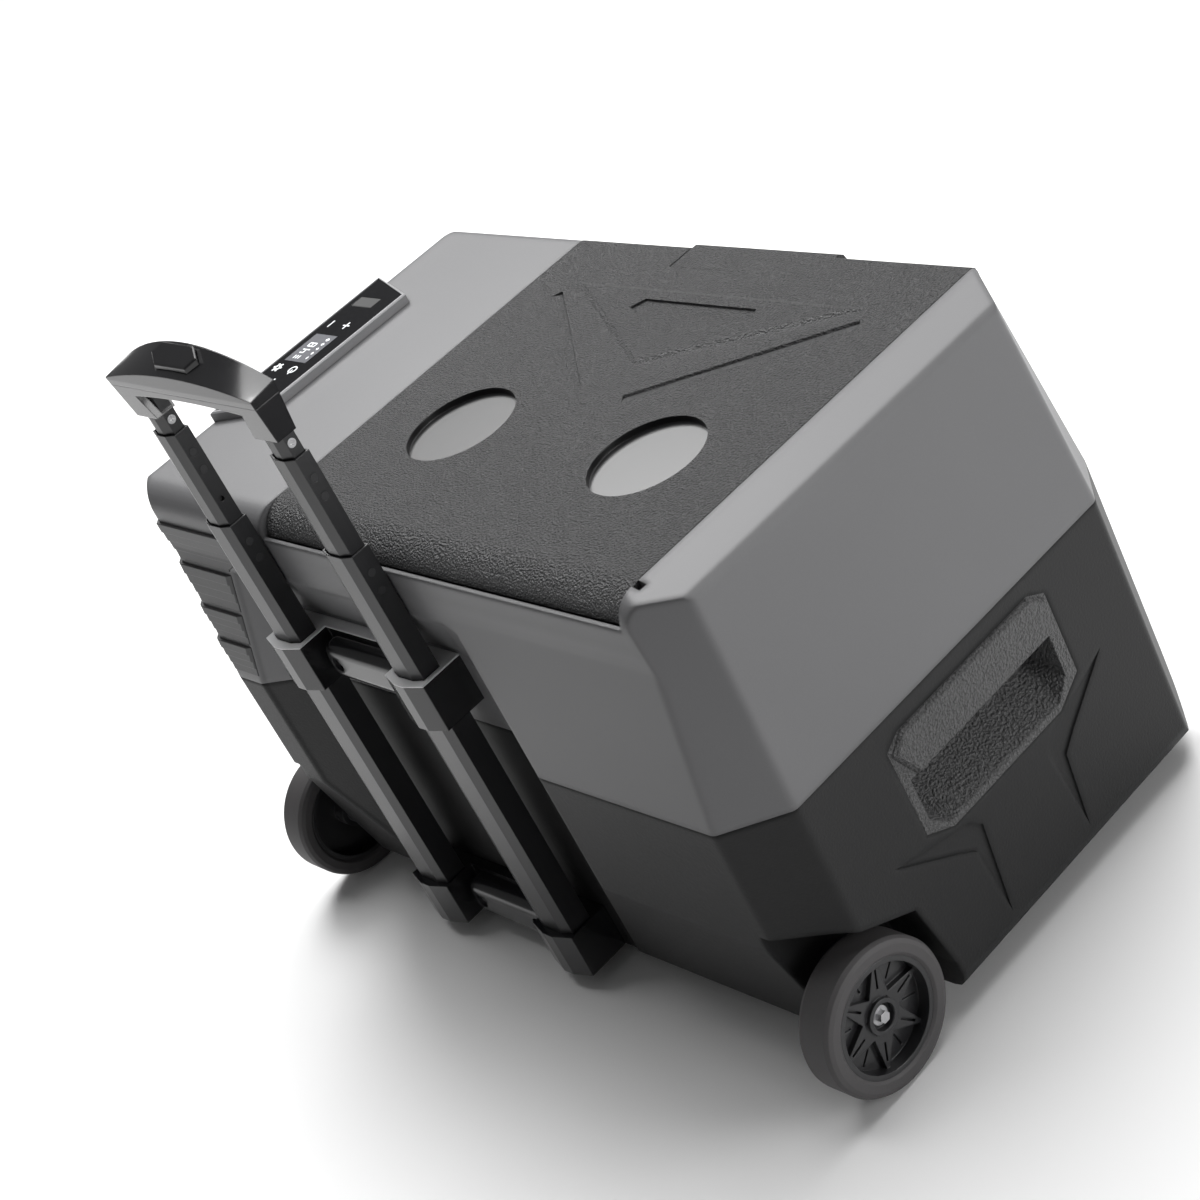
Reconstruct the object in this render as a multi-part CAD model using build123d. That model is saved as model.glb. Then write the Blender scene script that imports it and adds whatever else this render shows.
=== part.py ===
"""Compressor cooler fridge with telescopic trolley handle and two wheels.

Millimetres, +Z up. The latch side faces -Y, the trolley handle and hinge side +Y,
the machine compartment and control console are at the +X end.
"""
import math
import os

from build123d import *

# ---- driving dimensions -------------------------------------------------------
X_LOW, X_HIGH = -302.0, 302.0      # end faces at the parting line
Y_FRONT, Y_REAR = -194.0, 171.0    # front and rear faces at the parting line
Z_BOTTOM = 14.0                    # underside of the lower housing
Z_PART = 213.0                     # parting line between the two housings
Z_TOP = 370.5                      # top face
WALL = 3.0                         # housing wall
CORNER_R = 7.0                     # softening of the upright edges
REAR_UPPER_Y = 155.5               # rear face of the upper housing above the lean

LID_X = (-255.3, 125.0)
LID_Z = 347.0                      # underside of the lid's inner panel
SKIRT_Z = 341.0                    # lower edge of the lid's skirt
LID_GAP = 0.6
HINGE_Y, HINGE_Z, ROLL_R = 127.5, 346.0, 24.5
HINGE_PIN_R = 3.0
DECK_Z = 340.0                     # deck the lid closes on
CUP_X = (-160.8, 30.6)
CUP_Y, CUP_R, CUP_DEPTH = 32.0, 40.0, 4.6
LID_MID = 0.5 * (LID_X[0] + LID_X[1])

CABIN_X, CABIN_Y, CABIN_Z = (-235.0, 100.0), (-158.0, 84.0), (52.0, DECK_Z)
LINER = 2.5

TUBE_X = (-6.0, 140.6)             # the two trolley columns
TUBE_Y = 165.5
GRIP_X = 0.5 * (TUBE_X[0] + TUBE_X[1])
OUTER_HX, OUTER_HY = 19.2, 10.0    # half sizes of the fixed tube
STEP_X, STEP_Y = 2.3, 1.35         # how much each stage is smaller
TUBE_WALL_X, TUBE_WALL_Y = 1.3, 0.9
OUTER_Z = (15.0, 275.0)
STAGE1_Z = (138.5, 376.5)
STAGE2_Z = (236.0, 450.5)
STAGE3_Z = (274.5, 486.0)
GUIDE_H = 24.0
POCKET_FLOOR_Y = 143.0
BRACKET_Z = ((14.0, 50.5), (238.6, 275.0))

WHEEL_R, WHEEL_W = 51.0, 28.0
WHEEL_Y, WHEEL_Z = 145.0, 51.0
WHEEL_FACE_X = 304.0               # outer face, both ends
AXLE_R = 5.0
POCKET_X = 257.0                   # inner wall of each wheel pocket

HANDLE_Y = (-91.5, 63.0)           # carry handle insert
HANDLE_Z = (116.0, 200.0)


def box(x0, x1, y0, y1, z0, z1):
    """Axis-aligned block between two corners."""
    return Pos((x0 + x1) / 2, (y0 + y1) / 2, (z0 + z1) / 2) * Box(x1 - x0, y1 - y0, z1 - z0)


def rod_x(x0, x1, y, z, r):
    """Cylinder along X."""
    return Pos((x0 + x1) / 2, y, z) * Rot(0, 90, 0) * Cylinder(r, abs(x1 - x0))


def rod_y(x, y0, y1, z, r):
    """Cylinder along Y."""
    return Pos(x, (y0 + y1) / 2, z) * Rot(90, 0, 0) * Cylinder(r, abs(y1 - y0))


def rod_z(x, y, z0, z1, r):
    """Cylinder along Z."""
    return Pos(x, y, (z0 + z1) / 2) * Cylinder(r, z1 - z0)


def prism_x(points, x0, x1):
    """Polygon in the YZ plane swept along X."""
    wire = Wire.make_polygon([Vector(x0, y, z) for y, z in points], close=True)
    return extrude(Face(wire), amount=x1 - x0, dir=(1, 0, 0))


def prism_y(points, y0, y1):
    """Polygon in the XZ plane swept along Y."""
    wire = Wire.make_polygon([Vector(x, y0, z) for x, z in points], close=True)
    return extrude(Face(wire), amount=y1 - y0, dir=(0, 1, 0))


def prism_z(points, z0, z1):
    """Polygon in plan swept up Z."""
    wire = Wire.make_polygon([Vector(x, y, z0) for x, y in points], close=True)
    return extrude(Face(wire), amount=z1 - z0, dir=(0, 0, 1))


def mirror_x(shape):
    """Copy at the other end of the cooler."""
    return mirror(shape, about=Plane.YZ)


def parts_of(shapes):
    """Several separate solids kept as one node."""
    return Compound(children=[s for shape in shapes for s in shape.solids()])


# ---- the moulded body ---------------------------------------------------------
def corner_wedge(low, high, z0, z1, inset):
    """Everything outside a corner chamfer that leans from one plan line to another."""
    faces = []
    for (ax, ay), (bx, by), z in ((low[0], low[1], z0), (high[0], high[1], z1)):
        length = math.hypot(bx - ax, by - ay)
        ux, uy = (bx - ax) / length, (by - ay) / length
        nx, ny = uy, -ux
        if nx * ax + ny * (ay + 11.5) < 0:
            nx, ny = -nx, -ny
        ax, ay, bx, by = (ax - nx * inset, ay - ny * inset, bx - nx * inset, by - ny * inset)
        ends = [
            (ax - 60 * ux, ay - 60 * uy),
            (bx + 60 * ux, by + 60 * uy),
            ((ax + bx) / 2 + 90 * nx, (ay + by) / 2 + 90 * ny),
        ]
        faces.append(Face(Wire.make_polygon([Vector(x, y, z) for x, y in ends], close=True)))
    return Solid.make_loft([f.outer_wire() for f in faces], ruled=True)


def arc_points(cy, cz, r, a0, a1, steps):
    """Points along an arc, angles in degrees from +Y towards +Z."""
    return [
        (
            cy + r * math.cos(math.radians(a0 + (a1 - a0) * i / steps)),
            cz + r * math.sin(math.radians(a0 + (a1 - a0) * i / steps)),
        )
        for i in range(steps + 1)
    ]


def round_corners(solid, low, high):
    """Soften the upright edges that run from below low to above high."""
    upright = []
    for edge in solid.edges():
        span = edge.bounding_box()
        if span.min.Z < low and span.max.Z > high:
            upright.append(edge)
    return fillet(upright, CORNER_R)


def upper_body(inset):
    """Outer form of the upper housing, moved inwards by inset."""
    t = inset
    side = [(Y_FRONT + t, Z_PART), (Y_FRONT + 14.4 + t, 364.0)]
    side += arc_points(-173.5, 364.5, 6.0 - t / 2, 180, 90, 4)[1:-1]
    side += [(-173.0, Z_TOP - t)]
    side += arc_points(137.5, 352.5, 18.0 - t, 90, 0, 8)
    side += [(REAR_UPPER_Y - t, 323.0), (Y_REAR - t, Z_PART)]
    end = [(X_LOW + t, Z_PART), (-291.5 + t, 359.0), (-288.5 + t, 362.8 - t)]
    end += [(-256.0, Z_TOP - t), (287.0, Z_TOP - t)]
    end += arc_points(287.0, 356.5, 14.0 - t, 90, 0, 6)[1:-1]
    end += [(301.0 - t, 356.5), (X_HIGH - t, Z_PART)]
    solid = prism_x(side, -330.0, 330.0) & prism_y(end, -230.0, 230.0)
    wedges = [
        (((-302, 135.4), (-265.1, 171)), ((-291, 126), (-260, 155.5))),
        (((-302, -157.1), (-265.1, -194)), ((-291, -151), (-254, -179.3))),
        (((302, 135.4), (265.1, 171)), ((301, 128), (274, 155.5))),
        (((302, -157.1), (265.1, -194)), ((301, -158), (282, -179.3))),
    ]
    for low, high in wedges:
        solid -= corner_wedge(low, high, Z_PART, Z_TOP, t)
    return round_corners(solid, Z_PART + 1.0, Z_PART + 80.0)


def lower_body(inset):
    """Outer form of the lower housing, moved inwards by inset."""
    t = inset
    z0 = Z_BOTTOM + t
    side = [(Y_REAR - t, Z_PART), (Y_REAR - t, 116.0), (149.5 - t, 22.0), (144.0 - t, z0)]
    side += [(-168.0 + t, z0), (-179.0 + t, 17.0 + t), (-187.5 + t, 25.0 + t)]
    side += [(-192.5 + t, 38.0 + t), (Y_FRONT + t, 54.0), (Y_FRONT + t, Z_PART)]
    end = [(X_LOW + t, Z_PART), (X_LOW + t, 27.0 + t), (-299.6 + t, 20.0 + t), (-295.0 + t, 15.8 + t)]
    end += [(-288.0, z0), (288.0, z0), (295.0 - t, 15.8 + t), (299.6 - t, 20.0 + t)]
    end += [(X_HIGH - t, 27.0 + t), (X_HIGH - t, Z_PART)]
    solid = prism_x(side, -330.0, 330.0) & prism_y(end, -230.0, 230.0)
    lines = [((-302, 135.4), (-265.1, 171)), ((-302, -157.1), (-265.1, -194))]
    for a, b in lines:
        wedge = corner_wedge((a, b), (a, b), 0.0, Z_PART + 1.0, t)
        solid -= wedge
        solid -= mirror_x(wedge)
    return round_corners(solid, Z_PART - 50.0, Z_PART - 1.0)


def trolley_pocket(grow):
    """Sloped recess in the rear face that takes the trolley handle."""
    faces = []
    for y in (POCKET_FLOOR_Y - grow, 179.0):
        k = (y - POCKET_FLOOR_Y) / 28.0
        x0, x1, z1 = -40.0 - 59.0 * k - grow, 174.6 + 59.0 * k + grow, 279.0 + 86.0 * k + grow
        corners = [(x0, -5.0), (x1, -5.0), (x1, z1 - 8.0), (x1 - 10.0, z1), (x0 + 10.0, z1), (x0, z1 - 8.0)]
        faces.append(Wire.make_polygon([Vector(x, y, z) for x, z in corners], close=True))
    return Solid.make_loft(faces, ruled=True)


def wheel_pocket(grow):
    """Arch cut out of a lower rear corner, at the -X end."""
    g = grow
    points = [(200.0, 129.0 + g), (171.0, 128.0 + g), (145.0, 119.0 + g), (93.0 - g, 93.0 + g)]
    points += [(83.0 - g, 38.0), (82.0 - g, -10.0), (200.0, -10.0)]
    return prism_x(points, -330.0, -POCKET_X + g)


def handle_outline(shrink):
    """Outline of the carry handle insert in the YZ plane."""
    s = shrink
    y0, y1, z0, z1 = HANDLE_Y[0] + s, HANDLE_Y[1] - s, HANDLE_Z[0] + s, HANDLE_Z[1] - s
    return [
        (y0, z0 + 13.0), (y0 + 24.0, z0), (y1 - 22.0, z0), (y1 - 1.0, z0 + 11.0),
        (y1, z1 - 7.0), (y1 - 13.0, z1), (y0 + 14.0, z1), (y0, z1 - 8.0),
    ]


def lid_space(grow):
    """Room in the upper housing for the lid and for its rolled rear edge to turn in."""
    x0, x1 = LID_X[0] - LID_GAP - grow, LID_X[1] + LID_GAP + grow
    space = box(x0, x1, -260.0, HINGE_Y + ROLL_R + 0.6 + grow, DECK_Z - grow, 420.0)
    space += rod_x(x0, x1, HINGE_Y, HINGE_Z, ROLL_R + 0.7 + grow)
    return space


def relief_cuts():
    """Shallow star-shaped relief on one end of the lower housing."""
    depth = 1.3
    outer = X_LOW - 5.0
    rear_star = [(94, 127), (48, 98), (34, 88), (29, 32), (22, 100), (32, 110)]
    front_star = [(-116, 128), (-71, 98), (-58, 88), (-53, 32), (-46, 100), (-56, 110)]
    return prism_x(rear_star, outer, X_LOW + depth) + prism_x(front_star, outer, X_LOW + depth)


def console_outline(shrink):
    """Plan of the raised control console."""
    s = shrink
    return [(291.0 - s, -103.0 + s), (291.0 - s, 73.0 - 1.6 * s), (243.0 + s, 55.0 - 0.6 * s),
            (236.5 + s, 46.0), (235.0 + s, -86.0 + 0.6 * s)]


upper_outer = upper_body(0.0)
lid_cut = lid_space(0.0)
pocket_cut = trolley_pocket(0.0)
upper_housing = upper_outer - lid_cut - pocket_cut
inner = upper_body(WALL) - lid_space(WALL) - trolley_pocket(WALL)
inner += box(-200.0, 200.0, -100.0, 100.0, Z_PART - 5.0, Z_PART)
upper_housing -= inner
upper_housing -= box(LID_X[0] - LID_GAP, LID_X[1] + LID_GAP, HINGE_Y, 200.0, 353.4, 420.0)
upper_housing -= box(*CABIN_X, *CABIN_Y, DECK_Z - 5.0, DECK_Z + 5.0)
upper_housing -= prism_z(console_outline(1.5), 340.0, 400.0)
PIN_X = (LID_X[0] - LID_GAP - WALL, LID_X[1] + LID_GAP + WALL)
upper_housing -= rod_x(PIN_X[0] - 1, PIN_X[1] + 1, HINGE_Y, HINGE_Z, HINGE_PIN_R)
upper_housing -= box(-262.5, -255.5, 131.0, 137.0, 365.5, 375.0)
GRILLE = (-75.0, 55.0, 238.0, 318.0)
upper_housing -= box(290.0, 310.0, *GRILLE)

lower_housing = lower_body(0.0) - pocket_cut
lower_inner = lower_body(WALL) - trolley_pocket(WALL)
handle_cut = prism_x(handle_outline(0.0), -330.0, X_LOW + 12.0)
for flip in (False, True):
    arch, arch_in = wheel_pocket(0.0), wheel_pocket(WALL)
    lower_housing -= mirror_x(arch) if flip else arch
    lower_inner -= mirror_x(arch_in) if flip else arch_in
lower_housing -= lower_inner
for flip in (False, True):
    for cutter in (handle_cut, relief_cuts()):
        lower_housing -= mirror_x(cutter) if flip else cutter
    bolt = rod_x(-262.0, -250.0, WHEEL_Y, WHEEL_Z, AXLE_R)
    lower_housing -= mirror_x(bolt) if flip else bolt
SOCKET_Y, SOCKET_Z = -130.0, 60.0
lower_housing -= box(290.0, 310.0, SOCKET_Y - 17.0, SOCKET_Y + 17.0, SOCKET_Z - 11.0, SOCKET_Z + 11.0)

# ---- cabin --------------------------------------------------------------------
cabin_liner = box(*CABIN_X, *CABIN_Y, CABIN_Z[0], DECK_Z)
cabin_liner = fillet(cabin_liner.edges().filter_by(Axis.Z), 14.0)
cabin_liner = fillet(cabin_liner.faces().sort_by(Axis.Z)[0].edges(), 8.0)
upper_housing -= cabin_liner
hollow = box(CABIN_X[0] + LINER, CABIN_X[1] - LINER, CABIN_Y[0] + LINER, CABIN_Y[1] - LINER,
             CABIN_Z[0] + LINER, 360.0)
hollow = fillet(hollow.edges().filter_by(Axis.Z), 11.5)
hollow = fillet(hollow.faces().sort_by(Axis.Z)[0].edges(), 5.5)
liner_solid = cabin_liner
flange = box(CABIN_X[0] - 12.0, CABIN_X[1] + 12.0, CABIN_Y[0] - 12.0, CABIN_Y[1] + 12.0, DECK_Z, DECK_Z + 2.5)
cabin_liner = cabin_liner + flange - hollow

foam = box(-268.0, 115.0, -178.0, 118.0, 22.5, Z_PART)
foam += box(-268.0, 115.0, -178.0, 118.0, Z_PART, 316.0) & upper_body(WALL + 0.3)
foam -= liner_solid
foam -= wheel_pocket(WALL + 0.3)
coil_z = [80.0, 120.0, 160.0, 200.0, 240.0]
TUBE_R = 3.5


def pipe(points, radius, bend):
    """Round tube through a list of points with rounded bends."""
    with BuildLine() as path:
        FilletPolyline(*points, radius=bend)
    start = Vector(*points[0])
    with BuildSketch(Plane(origin=start, z_dir=Vector(*points[1]) - start)) as ring:
        Circle(radius)
    return sweep(ring.sketch, path=path.line)


# one serpentine tube lying against the cabin liner, turning back at each level
coil_x = (CABIN_X[0] - TUBE_R, CABIN_X[1] + TUBE_R)
coil_y = (CABIN_Y[0] - TUBE_R, CABIN_Y[1] + TUBE_R)
coil_path = []
for i, z in enumerate(coil_z):
    turn = [(coil_x[1], 10.0), (coil_x[1], coil_y[1]), (coil_x[0], coil_y[1]),
            (coil_x[0], coil_y[0]), (coil_x[1], coil_y[0]), (coil_x[1], -30.0)]
    coil_path += [(x, y, z) for x, y in (turn if i % 2 == 0 else reversed(turn))]
evaporator_coil = pipe(coil_path, TUBE_R, 17.4)
# the foam stands clear of the whole coil in one band around the liner
BAND = 7.4
coil_band = box(CABIN_X[0] - BAND, CABIN_X[1] + BAND, CABIN_Y[0] - BAND, CABIN_Y[1] + BAND,
                coil_z[0] - 3.8, coil_z[-1] + 3.8)
insulation_foam = foam - fillet(coil_band.edges().filter_by(Axis.Z), 18.0)

# ---- machine compartment ------------------------------------------------------
base_plate = box(128.0, 285.0, -165.0, 128.0, 17.5, 20.0)
base_plate -= rod_z(200.0, -90.0, 10.0, 30.0, 8.0)
base_plate -= mirror_x(wheel_pocket(WALL + 0.3))
feet_xy = [(165.0, -60.0), (245.0, -60.0), (165.0, 20.0), (245.0, 20.0)]
grommets = []
for gx, gy in feet_xy:
    grommets.append(rod_z(gx, gy, 20.0, 30.0, 8.0) - rod_z(gx, gy, 19.0, 31.0, 3.0))
compressor = rod_z(205.0, -20.0, 38.0, 128.0, 46.0)
compressor = fillet(compressor.edges().filter_by(GeomType.CIRCLE), 22.0)
compressor += rod_z(205.0, -20.0, 84.0, 90.0, 49.0)
compressor += box(158.0, 252.0, -67.0, 27.0, 30.0, 33.0)
compressor += rod_z(205.0, -20.0, 32.0, 44.0, 20.0)
compressor += rod_z(205.0, -52.0, 110.0, 140.0, 4.0)
compressor += rod_z(205.0, 12.0, 110.0, 136.0, 3.5)
compressor_box = box(255.0, 281.0, -50.0, 10.0, 60.0, 105.0)
compressor += box(250.0, 255.0, -40.0, 0.0, 70.0, 95.0)

fins = [box(222.0, 252.0, -66.0, 56.0, 150.0 + 6.0 * i, 150.8 + 6.0 * i) for i in range(13)]
condenser = box(222.0, 252.0, -68.0, -66.0, 148.0, 226.0) + box(222.0, 252.0, 56.0, 58.0, 148.0, 226.0)
for i in range(6):
    condenser += rod_y(230.0 if i % 2 else 244.0, -74.0, 64.0, 156.0 + 12.0 * i, 3.0)
for fin in fins:
    condenser += fin

FAN_Y, FAN_Z, FAN_X = -5.0, 278.0, 276.0
fan_frame = box(FAN_X - 10, FAN_X + 10, FAN_Y - 40, FAN_Y + 40, FAN_Z - 38, FAN_Z + 38)
fan_frame -= rod_x(FAN_X - 11, FAN_X + 11, FAN_Y, FAN_Z, 36.0)
fan_frame += rod_x(FAN_X - 10, FAN_X - 6.5, FAN_Y, FAN_Z, 15.0)
for turn in (0, 90):
    spoke = Pos(FAN_X - 8.25, FAN_Y, FAN_Z) * Rot(turn + 45, 0, 0) * Box(3.5, 5.0, 82.0)
    fan_frame += spoke & box(FAN_X - 10, FAN_X, FAN_Y - 39, FAN_Y + 39, FAN_Z - 37, FAN_Z + 37)
fan_rotor = rod_x(FAN_X - 5.8, FAN_X + 8.0, FAN_Y, FAN_Z, 14.0)
for i in range(7):
    blade = Pos(FAN_X + 1.0, FAN_Y, FAN_Z) * Rot(360.0 * i / 7, 0, 0)
    blade = blade * Pos(0, 0, 23.5) * Rot(0, 0, 32) * Box(14.0, 2.0, 22.0)
    fan_rotor += blade

control_board = box(150.0, 153.0, -120.0, 20.0, 230.0, 320.0)
for k in range(3):
    control_board += rod_x(153.0, 168.0, -100.0 + 40.0 * k, 300.0, 7.0)
control_board += box(153.0, 163.0, -110.0, 10.0, 240.0, 262.0)
partition = box(125.7, 128.0, -165.0, 120.0, 20.0, 316.0)
for by, bz in ((-115.0, 235.0), (15.0, 235.0), (-115.0, 315.0), (15.0, 315.0)):
    partition += rod_x(128.0, 150.0, by, bz, 3.5)
filter_drier = rod_z(170.0, 75.0, 60.0, 130.0, 9.0)
filter_drier = fillet(filter_drier.edges().filter_by(GeomType.CIRCLE), 6.0)


pipes = [
    pipe([(205, -52, 140), (205, -52, 170), (205, -90, 170), (244, -90, 170),
          (244, -90, 216), (244, -74.5, 216)], 3.0, 7.0),
    pipe([(205, 12, 136), (205, 12, 146), (205, 90, 146), (140, 90, 146), (140, 90, 215)], 3.0, 5.0),
    pipe([(170, 75, 130), (170, 75, 140), (190, 75, 140), (190, 75, 156),
          (243, 75, 156), (243, 65, 156)], 2.5, 4.0),
]

# ---- vents, sockets and console -----------------------------------------------
grille = box(300.3, 302.8, GRILLE[0] - 5, GRILLE[1] + 5, GRILLE[2] - 5, GRILLE[3] + 5)
grille += box(296.5, 300.5, GRILLE[0] + 0.2, GRILLE[1] - 0.2, GRILLE[2] + 0.2, GRILLE[3] - 0.2)
grille -= box(290.0, 301.0, GRILLE[0] + 4, GRILLE[1] - 4, GRILLE[2] + 4, GRILLE[3] - 4)
for i in range(9):
    zc = GRILLE[2] + 7.0 + 8.2 * i
    for y0, y1 in ((-69.0, -13.0), (-7.0, 49.0)):
        grille -= box(290.0, 310.0, y0, y1, zc, zc + 4.6)
vent_grille = grille - (upper_outer - box(290.0, 310.0, *GRILLE))

louvre_skins = [upper_body(-proud) - upper_outer for proud in (2.4, 1.7, 1.0, 0.4)]
louvres = []
for top, drop in ((344.0, 8.0), (309.0, 8.0), (274.0, 6.5), (246.0, 6.5)):
    rib = None
    for step, skin in enumerate(louvre_skins):
        band = skin & box(178.0, 310.0, 66.0, 180.0, top - drop * (step + 1), top - drop * step)
        rib = band if rib is None else rib + band
    louvres.append(rib - trolley_pocket(0.0))

console_body = prism_z(console_outline(0.0), 366.0, 378.0)
console_body = chamfer(console_body.faces().sort_by(Axis.Z)[-1].edges(), 1.2)
console_body -= upper_outer - prism_z(console_outline(1.5), 340.0, 400.0)
console_body += prism_z(console_outline(1.8), 352.0, 371.0)
console_body -= prism_z(console_outline(4.5), 345.0, 372.0)
console_body -= prism_z(console_outline(2.4), 375.2, 380.0)
glass = prism_z(console_outline(2.5), 375.2, 377.4)
USB = (256.0, 282.5, -77.8, -65.5)
DISPLAY = (253.0, 281.5, -29.5, 4.0)
glass -= box(*USB, 370.0, 380.0)
console_body += box(USB[0] - 2, USB[1] + 2, USB[2] - 2, USB[3] + 2, 358.0, 375.2)
console_body -= box(USB[0] + 3, USB[1] - 3, USB[2] + 2.5, USB[3] - 2.5, 362.0, 380.0)
usb_socket = box(USB[0] + 3, USB[1] - 3, USB[2] + 2.5, USB[3] - 2.5, 362.0, 374.5)
for ux in (USB[0] + 5.0, USB[0] + 14.5):
    usb_socket -= box(ux, ux + 6.5, USB[2] + 4.0, USB[3] - 4.0, 364.0, 376.0)
usb_flap = box(USB[0] + 0.4, USB[1] - 0.4, USB[2] + 0.4, USB[3] - 1.3, 375.5, 377.3)
usb_flap += rod_x(USB[0] + 0.4, USB[1] - 0.4, USB[3] - 1.3, 376.4, 0.9)
display = box(*DISPLAY, 377.4, 377.6)


def plus_mark(x, y, size, upright):
    """Printed plus or minus sign."""
    mark = box(x - 0.6, x + 0.6, y - size, y + size, 377.4, 377.6)
    if upright:
        mark += box(x - size, x + size, y - 0.6, y + 0.6, 377.4, 377.6)
    return mark


def ring_mark(x, y, outer, hole):
    """Printed ring."""
    return rod_z(x, y, 377.4, 377.6, outer) - rod_z(x, y, 377.0, 378.0, hole)


icons = [plus_mark(279.0, -42.6, 4.0, False), plus_mark(258.5, -42.6, 4.0, True)]
gear = ring_mark(278.6, 13.0, 3.6, 1.6)
for i in range(6):
    tooth = Pos(278.6, 13.0, 377.5) * Rot(0, 0, 60 * i) * Pos(4.2, 0, 0) * Box(1.6, 1.6, 0.2)
    gear += tooth
power = ring_mark(258.0, 13.0, 4.2, 3.0) - box(257.0, 259.0, 15.0, 19.0, 377.0, 378.0)
power += box(257.5, 258.5, 13.0, 18.5, 377.4, 377.6)
icons += [gear, power, rod_z(265.0, 26.0, 377.4, 377.6, 0.8)]

dc_socket = box(300.0, 304.0, SOCKET_Y - 20, SOCKET_Y + 20, SOCKET_Z - 14, SOCKET_Z + 14)
dc_socket = chamfer(dc_socket.faces().sort_by(Axis.X)[-1].edges(), 1.5)
dc_socket += box(280.0, 301.0, SOCKET_Y - 16.8, SOCKET_Y + 16.8, SOCKET_Z - 10.8, SOCKET_Z + 10.8)
socket_window = box(290.0, 310.0, SOCKET_Y - 17.0, SOCKET_Y + 17.0, SOCKET_Z - 11.0, SOCKET_Z + 11.0)
dc_socket -= lower_body(0.0) - socket_window
dc_socket += box(282.0, 300.0, SOCKET_Y - 16.8, SOCKET_Y + 16.8, SOCKET_Z - 10.8, SOCKET_Z + 10.8)
dc_socket -= box(286.0, 306.0, SOCKET_Y - 13.0, SOCKET_Y + 13.0, SOCKET_Z - 7.0, SOCKET_Z + 7.0)
contacts = []
for cy in (SOCKET_Y - 5.0, SOCKET_Y + 5.0):
    contacts.append(rod_x(286.0, 297.0, cy, SOCKET_Z, 2.0))

# ---- carry handles ------------------------------------------------------------
shell = prism_x(handle_outline(0.0), X_LOW - 0.0, X_LOW + 33.0)
SLOT_Y = (HANDLE_Y[0] + 13.0, HANDLE_Y[1] - 12.0)
shell -= box(X_LOW + 11.0, X_LOW + 29.0, *SLOT_Y, 148.0, 193.0)
shell -= box(X_LOW - 8.0, X_LOW + 29.0, *SLOT_Y, 148.0, 165.0)
mouth = []
for x, y0, y1, z0, cut in ((X_LOW - 1.0, -82.0, 56.0, 120.0, 13.0), (X_LOW + 29.0, *SLOT_Y, 148.0, 1.0)):
    rim = [(y0, 166.0), (y0, z0 + cut), (y0 + cut, z0), (y1 - cut, z0), (y1, z0 + cut), (y1, 166.0)]
    mouth.append(Wire.make_polygon([Vector(x, y, z) for y, z in rim], close=True))
shell -= Solid.make_loft(mouth, ruled=True)
bar_line = [(HANDLE_Y[1] - 2.0, 189.0), (HANDLE_Y[1] - 15.0, 199.4), (HANDLE_Y[0] + 15.0, 199.4)]
bar_line += [(HANDLE_Y[0] + 2.0, 190.0), (HANDLE_Y[0] + 5.0, 166.0), (HANDLE_Y[1] - 14.0, 166.0)]
bar = prism_x(bar_line, X_LOW - 3.0, X_LOW)
bar = chamfer(bar.faces().sort_by(Axis.X)[0].edges(), 2.2)
carry_handle = shell + bar
carry_other = mirror_x(carry_handle)

# ---- trolley handle -----------------------------------------------------------
def section(hx, hy, x):
    """D-shaped tube outline with its facets on the outer side."""
    cx, cy = 9.0, 3.0
    return [(x - hx, TUBE_Y - hy), (x + hx, TUBE_Y - hy), (x + hx, TUBE_Y + hy - cy),
            (x + hx - cx, TUBE_Y + hy), (x - hx + cx, TUBE_Y + hy), (x - hx, TUBE_Y + hy - cy)]


def tube(stage, z0, z1, x):
    """One length of telescopic tube; stage 0 is the fixed one."""
    hx, hy = OUTER_HX - STEP_X * stage, OUTER_HY - STEP_Y * stage
    outside = prism_z(section(hx, hy, x), z0, z1)
    bore = prism_z(section(hx - TUBE_WALL_X, hy - TUBE_WALL_Y, x), z0 - 1.0, z1 + 1.0)
    return outside - bore


def guide(stage, z_top, x):
    """Plastic guide block under a moving tube, running in the tube outside it."""
    hx = OUTER_HX - STEP_X * (stage - 1) - TUBE_WALL_X - 0.35
    hy = OUTER_HY - STEP_Y * (stage - 1) - TUBE_WALL_Y - 0.2
    block = prism_z(section(hx, hy, x), z_top - GUIDE_H, z_top)
    block -= rod_z(x, TUBE_Y, z_top - GUIDE_H - 1.0, z_top - 8.0, 3.4)
    return block


def clamp_plan(x):
    """Outline of one clamp around a tube."""
    return [(x - 21.5, POCKET_FLOOR_Y), (x + 21.5, POCKET_FLOOR_Y), (x + 21.5, 176.4),
            (x + 5.5, 181.3), (x - 5.0, 181.3), (x - 21.5, 176.4)]


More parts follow.
